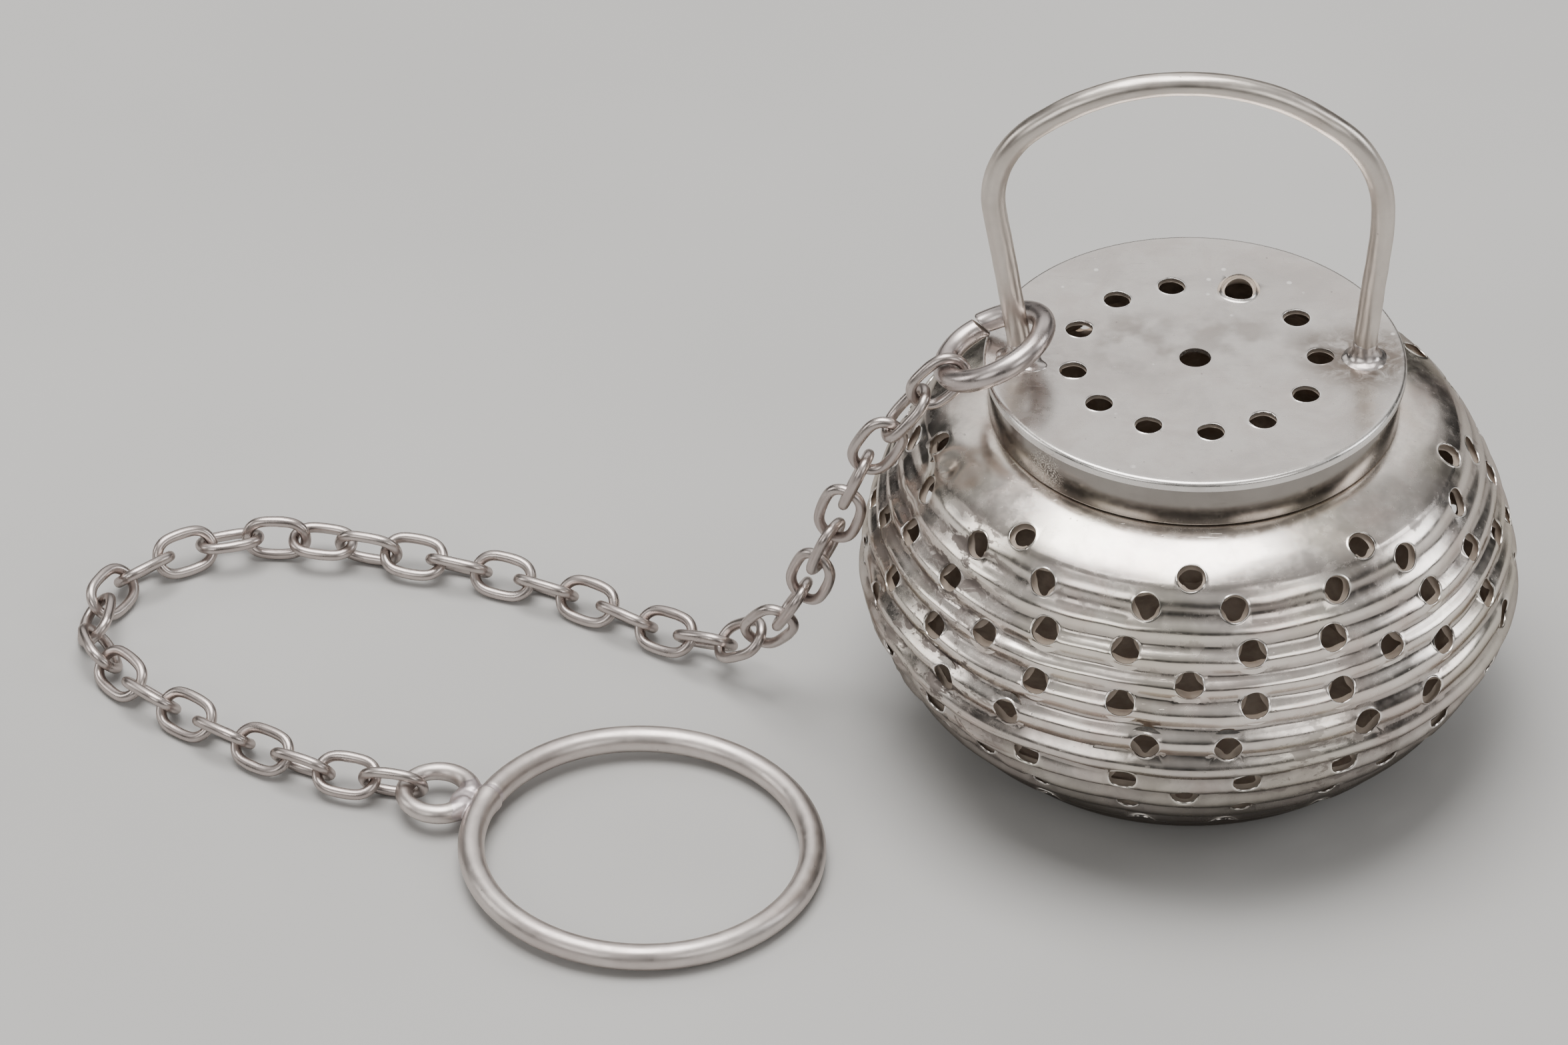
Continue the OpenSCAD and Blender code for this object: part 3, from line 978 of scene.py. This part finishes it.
def ellipsoid(centre, radii):
    bm = bmesh.new()
    bmesh.ops.create_icosphere(bm, subdivisions=4, radius=1.0)
    points = [np.array(centre) + np.array(radii) * np.array(v.co) for v in bm.verts]
    faces = [tuple(v.index for v in f.verts) for f in bm.faces]
    bm.free()
    return points, faces


def fused(parts, voxel, rounds):
    """Closed shapes in millimetres run together with soft inner corners, as solder does."""
    points, faces = [], []
    for part_points, part_faces in parts:
        base = len(points)
        points += [tuple(map(float, p)) for p in part_points]
        faces += [tuple(base + i for i in f) for f in part_faces]
    mesh = bpy.data.meshes.new("fusing")
    mesh.from_pydata(points, [], faces)
    obj = placed("fusing", mesh)
    remesh = obj.modifiers.new("join", "REMESH")
    remesh.mode = "VOXEL"
    remesh.voxel_size = voxel
    soften = obj.modifiers.new("soften", "SMOOTH")
    soften.factor = 0.5
    soften.iterations = rounds
    apply_modifiers(obj)
    made = obj.data
    out = np.array([v.co for v in made.vertices])
    normals = np.array([v.normal for v in made.vertices])
    made_faces = [tuple(f.vertices) for f in made.polygons]
    bpy.data.objects.remove(obj)
    bpy.data.meshes.remove(made)
    return out, normals, made_faces


def lumpy(points, normals, size, seed):
    """Moves points along their normals by soft noise."""
    out = []
    for p, n in zip(points, normals):
        out.append(p + n * size * (wobble(p, 0.9, seed) + 0.5 * wobble(p, 2.6, seed + 1)))
    return out


def solder_piece(name, parts, size, seed, body, material, node):
    points, normals, faces = fused(parts, 0.075, 14)
    points = lumpy(points, normals, size, seed)
    n = len(points)
    marks = {"low": np.full(n, 0.3), "rim": np.zeros(n), "flow": np.array(points) * 1.5}
    piece(name, points, faces, marks, body, "solder", [material], [node])


def build_solder(material):
    """Solder that ran round the bail's two feet and spread over the lid."""

    def collar(along, around):
        return 0.78 + 0.8 * math.exp(-max(0.0, along - 0.1) / 0.3)

    parts = []
    for foot, pools in FOOT_POOLS:
        stub = [(foot, 0, LID_TOP - 0.2 + 0.1 * k) for k in range(15)]
        parts.append(tube(stub, collar, 32)[:2])
        for x, y, *radii in pools:
            parts.append(ellipsoid((foot + x, y, LID_TOP - 0.06), radii))
    solder_piece("bail_solder_pools", parts, 0.03, 3.0, "lid", material, "bail_solder")


# -------------------- chain


def joint_data():
    """Child body to (position, axis) of its joint, in millimetres."""
    out = {}
    for j in frame["joints"]:
        if j["type"] == "hinge":
            out[j["child"]] = (np.array(j["pos_m"]) / MM, np.array(j["axis"], float))
    return out


LINKS = 35
LINK_L, LINK_W, LINK_WIRE = 4.6, 3.2, 0.7
LINK_ROUND = 12.3  # about how long a link's wire is


def build_links(material):
    """Each link sits where its CAD link does.

    Its middle is its box's, and the next joint gives its direction.
    """
    hinges = joint_data()
    names = [f"link_{i:02d}" for i in range(1, LINKS + 1)]
    for i, body in enumerate(names):
        node = "chain_" + body
        low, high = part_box(node)
        middle = np.array((low + high) / 2) / MM
        pos, width = hinges[names[i + 1] if i + 1 < len(names) else "finger_ring"]
        t = pos - middle
        t -= width * np.dot(t, width)
        t /= np.linalg.norm(t)
        normal = np.cross(t, width)
        seed = 3.7 * i
        straight = (LINK_L - LINK_W) / 2
        bow = (LINK_W - LINK_WIRE) / 2
        path = []
        for q in np.linspace(0, TAU, 56, endpoint=False):
            c, s = math.cos(q), math.sin(q)
            x = bow * c + straight * math.tanh(3.0 * c) / math.tanh(3.0)
            y = bow * s * (1 + 0.012 * wobble((c, s, 0), 1.0, seed))
            lift = 0.02 * wobble((c, s, 0), 1.1, seed + 5)
            path.append(middle + t * x + width * y + normal * lift)
        seam = 0.9 + 0.5 * wobble((seed, 0, 0), 1.0, 1.0)

        def radius(along, around, seed=seed, seam=seam):
            bead = 0.05 * math.exp(-(((along / LINK_ROUND) * TAU - seam * 1.7) / 0.16) ** 2)
            place = (along * 1.2, math.cos(around), math.sin(around))
            return LINK_WIRE / 2 * (1 + bead + 0.025 * wobble(place, 1.0, seed))

        shape = tube(path, radius, 16, closed=True)
        piece("link_wire_" + body[-2:], *shape, body, "chain_silver", [material], [node])


# -------------------- rings

JUMP_CENTRE, JUMP_TILT, JUMP_R, JUMP_WIRE = (-12.6, -0.9, 29.0), (-6, -27, 0), 3.45, 1.45
JUMP_CUT, JUMP_GAP = 106, 2.8  # where the ring is cut, and half the gap there, in degrees
JUMP_SWEEP, JUMP_STEPS, JUMP_SIDES = 354.4, 140, 26
JUMP_ASKEW, JUMP_ASKEW_REACH = 0.5, 1.8  # how slanted the cut is, and how far that reaches
EYE_R, EYE_WIRE, EYE_OPEN = 2.15, 1.05, 56
EYE_BURIED = 9  # how far each of the eye's ends runs on into the solder, in degrees
RING_R, RING_WIRE, RING_HEADING, RING_LEAN = 10.75, 1.7, -21, 1.3
SEAM_SHARE = 0.988  # where the finger ring's butt seam is, as a share of the way round from the eye


def build_jump_ring(material, cut):
    """A thick ring whose two cut ends are slanted and don't quite meet."""
    axes = turned(*JUMP_TILT)
    path = arc(JUMP_CENTRE, axes, JUMP_R, JUMP_CUT + JUMP_GAP, JUMP_SWEEP, JUMP_STEPS)
    for i in range(12):
        share = (1 - i / 12) ** 2
        path[i] = path[i] - axes[:, 2] * 0.06 * share - axes[:, 1] * 0.03 * share
        path[-1 - i] = path[-1 - i] + axes[:, 2] * 0.08 * share + axes[:, 1] * 0.05 * share
    sides = JUMP_SIDES
    uneven = wire_radius(JUMP_WIRE / 2, 31.0, 0.02, 0.015)
    points, faces, marks = tube(path, uneven, sides, end_round=0.08)
    rings = len(points) // sides
    step = JUMP_R * math.radians(JUMP_SWEEP) / JUMP_STEPS
    for i in range(rings):
        from_end = min(i, rings - 1 - i)
        lean = JUMP_ASKEW * max(0.0, 1 - from_end * step / JUMP_ASKEW_REACH)
        if lean > 0:
            around = np.mean(points[i * sides : (i + 1) * sides], axis=0)
            way = np.cross(axes[:, 2], around - np.array(JUMP_CENTRE))
            way /= np.linalg.norm(way)
            for k in range(i * sides, (i + 1) * sides):
                points[k] = points[k] + way * lean * np.dot(points[k] - around, axes[:, 2])
    mats = [material, cut]
    shape = points, faces, marks
    obj = piece("jump_ring_wire", *shape, "jump_ring", "jump_ring_silver", mats, ["jump_ring"])
    # The two cut end faces get the dark stained material: partly tarnish, partly painted shade that
    # makes the gap between the ends read dark.
    for face in list(obj.data.polygons)[-2:]:
        face.material_index = 1


def build_finger_ring(material, solder):
    low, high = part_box("finger_ring")
    centre = np.array((low + high) / 2) / MM
    axes = turned(0, RING_LEAN, RING_HEADING)
    path = arc(centre, axes, RING_R, 180, 360, 480, closed=True)

    def radius(along, around):
        share = along / (TAU * RING_R)
        place = (along, 3 * math.cos(around), 3 * math.sin(around))
        near_seam = math.exp(-(((share - SEAM_SHARE) % 1.0) * 80) ** 2)
        seam = 0.13 * near_seam - 0.07 * math.exp(-((share - SEAM_SHARE + 0.003) * 380) ** 2)
        uneven = 0.018 * wobble(place, 0.2, 41.0)
        return RING_WIRE / 2 * (1 + seam + uneven + 0.008 * wobble(place, 0.9, 44.0))

    shape = tube(path, radius, 30, closed=True)
    piece("finger_ring_wire", *shape, "finger_ring", "ring_silver", [material], ["finger_ring"])

    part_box("ring_eye")  # stops the script if the frame has no eye
    gap = RING_R + RING_WIRE / 2 + EYE_R * math.cos(math.radians(EYE_OPEN / 2)) + 0.42
    eye = centre - axes[:, 0] * gap
    sweep = 360 - EYE_OPEN + 2 * EYE_BURIED
    path = arc(eye, axes, EYE_R, EYE_OPEN / 2 - EYE_BURIED, sweep, 64)
    worn = wire_radius(EYE_WIRE / 2, 52.0, 0.03, 0.02)
    length = EYE_R * math.radians(sweep)

    def swollen(along, around):
        """The wire is thicker towards its soldered ends."""
        away = abs(2 * along / length - 1)
        return worn(along, around) * (1.06 + 0.24 * float(np.interp(away, (0.3, 0.95), (0, 1))))

    shape = tube(path, swollen, 24)
    piece("eye_wire", *shape, "finger_ring", "wire_silver", [material], ["ring_eye"])

    def fading(along, around):
        return float(np.interp(along, (0.5, 2.3), (0.74, 0.50)))

    middle = centre - axes[:, 0] * (RING_R + 1.25)
    grow = arc(centre, axes, RING_R, 180 - 9, 18, 24)
    parts = [tube(grow, lambda along, around: 0.83, 24)[:2]]
    for side in (1, -1):
        leg = arc(eye, axes, EYE_R, side * (EYE_OPEN / 2 - 14), side * 62, 24)
        parts.append(tube(leg, fading, 20)[:2])
    lump, faces = ellipsoid((0, 0, 0), (0.95, 1.55, 0.64))
    parts.append(([middle + axes @ p for p in lump], faces))
    lump, faces = ellipsoid((0, 0, 0), (0.9, 0.7, 0.55))
    parts.append(([middle + axes @ (p + np.array((0.35, -0.75, 0.05))) for p in lump], faces))
    solder_piece("ring_solder_joint", parts, 0.05, 6.0, "finger_ring", solder, "ring_solder")


# -------------------- scene

FLOOR_HALF = 4.0
# The sky's light from its lowest point to its highest.
SKY = ((0.0, 0.025), (0.30, 0.035), (0.52, 0.26), (0.80, 0.46))


def build_stage():
    mesh = bpy.data.meshes.new("floor")
    far = FLOOR_HALF
    corners = [(-far, -far, 0), (far, -far, 0), (far, far, 0), (-far, far, 0)]
    mesh.from_pydata(corners, [], [(0, 1, 2, 3)])
    floor = placed("floor", mesh)
    floor.data.materials.append(floor_material())

    soft_box("key_overhead", (-0.08, 0.06, 0.66), (0.44, 0.50), 6.0, (1.0, 0.985, 0.965))
    soft_box("panel_back", (0.02, 0.80, 0.58), (1.30, 0.50), 1.7, (1.0, 0.985, 0.97))
    soft_box("panel_front_left", (-0.50, -0.62, 0.42), (0.42, 0.34), 1.2, (1.0, 0.985, 0.96))
    soft_box("panel_front_right", (0.46, -0.62, 0.40), (0.38, 0.34), 1.1, (1.0, 0.985, 0.96))
    soft_box("panel_left", (-0.75, 0.05, 0.30), (0.28, 0.34), 0.9, (1.0, 0.98, 0.95))
    soft_box("panel_right", (0.72, 0.05, 0.34), (0.26, 0.40), 1.5, (0.98, 0.99, 1.0))

    world = bpy.data.worlds.new("studio")
    bpy.context.scene.world = world
    world.use_nodes = True
    tree = world.node_tree
    up = tree.nodes.new("ShaderNodeTexCoord")
    split = tree.nodes.new("ShaderNodeSeparateXYZ")
    ramp = tree.nodes.new("ShaderNodeValToRGB")
    tree.links.new(up.outputs["Generated"], split.inputs[0])
    tree.links.new(split.outputs["Z"], ramp.inputs[0])
    tree.links.new(ramp.outputs[0], tree.nodes["Background"].inputs["Color"])
    while len(ramp.color_ramp.elements) < len(SKY):
        ramp.color_ramp.elements.new(0.5)
    for stop, (height, light) in zip(ramp.color_ramp.elements, SKY):
        stop.position = height
        stop.color = (light, light * 0.99, light * 0.97, 1)


make_camera()
build_stage()

ball_silver = silver(
    "silver_ball", (0.88, 0.815, 0.755), (0.73, 0.62, 0.565), (0.17, 0.29), blush_amount=0.75,
    tarnish=0.5, streak=(0.55, 0.45), edge=(0.50, 0.48, 0.46), extra=ball_marks,
)
inside = interior("inside_stained", (0.36, 0.28, 0.22), (0.54, 0.45, 0.37))
neck_inside = interior("neck_stain_and_gap_shade", (0.20, 0.15, 0.115), (0.34, 0.27, 0.21))
disc_silver = silver(
    "silver_disc", (0.72, 0.68, 0.65), (0.60, 0.54, 0.505), (0.22, 0.33), blush_amount=0.6,
    tarnish=0.12, streak=(0.4, 0.10), extra=disc_marks,
)
# The band's base colour is much darker than the other silver: a painted dark reflection of the dark
# ground it faces.
band_silver = silver(
    "silver_band", (0.33, 0.305, 0.28), (0.26, 0.23, 0.21), (0.14, 0.22), tarnish=0.2,
    streak=(0.4, 0.3), extra=band_marks,
)
# The wire pieces below get darker bases than the ball: partly old silver's patina, partly a painted
# dark reflection of dark surroundings.
wire_silver = silver(
    "silver_wire", (0.70, 0.645, 0.59), (0.56, 0.495, 0.445), (0.29, 0.38), tarnish=0.2,
    streak=(0.5, 0.35),
)
jump_silver = silver(
    "silver_jump_ring", (0.60, 0.545, 0.525), (0.46, 0.39, 0.38), (0.24, 0.36), tarnish=0.35,
    streak=(0.8, 0.4),
)
link_silver = silver(
    "silver_links", (0.53, 0.475, 0.45), (0.42, 0.355, 0.335), (0.26, 0.36), tarnish=0.45,
    streak=(0.9, 0.3),
)
ring_silver = silver(
    "silver_ring", (0.66, 0.605, 0.575), (0.52, 0.45, 0.43), (0.33, 0.46), tarnish=0.35,
    tarnish_scale=0.9, streak=(0.8, 0.4),
)
joint_grey = silver(
    "silver_joint", (0.60, 0.54, 0.545), (0.50, 0.43, 0.44), (0.36, 0.50), tarnish=0.3,
    tarnish_scale=1.1,
)
solder_grey = silver(
    "silver_solder", (0.72, 0.67, 0.645), (0.60, 0.53, 0.515), (0.22, 0.36), tarnish=0.3,
    tarnish_scale=1.1,
)

build_ball(ball_silver, inside)
neck = hoop_profile(12.49, 12.1, 23.5, 26.5)
build_hoop("neck_tube", neck, 0.0, "ball", "inner_silver", neck_inside, "neck_collar")
band = hoop_profile(12.95, 12.56, 24.05, 27.15)
build_hoop("lid_band_tube", band, 0.012, "lid", "band_silver", band_silver, "lid_band")
build_lid(disc_silver, neck_inside)
build_bail(wire_silver)
build_solder(solder_grey)
build_jump_ring(jump_silver, neck_inside)
build_links(link_silver)
build_finger_ring(ring_silver, joint_grey)
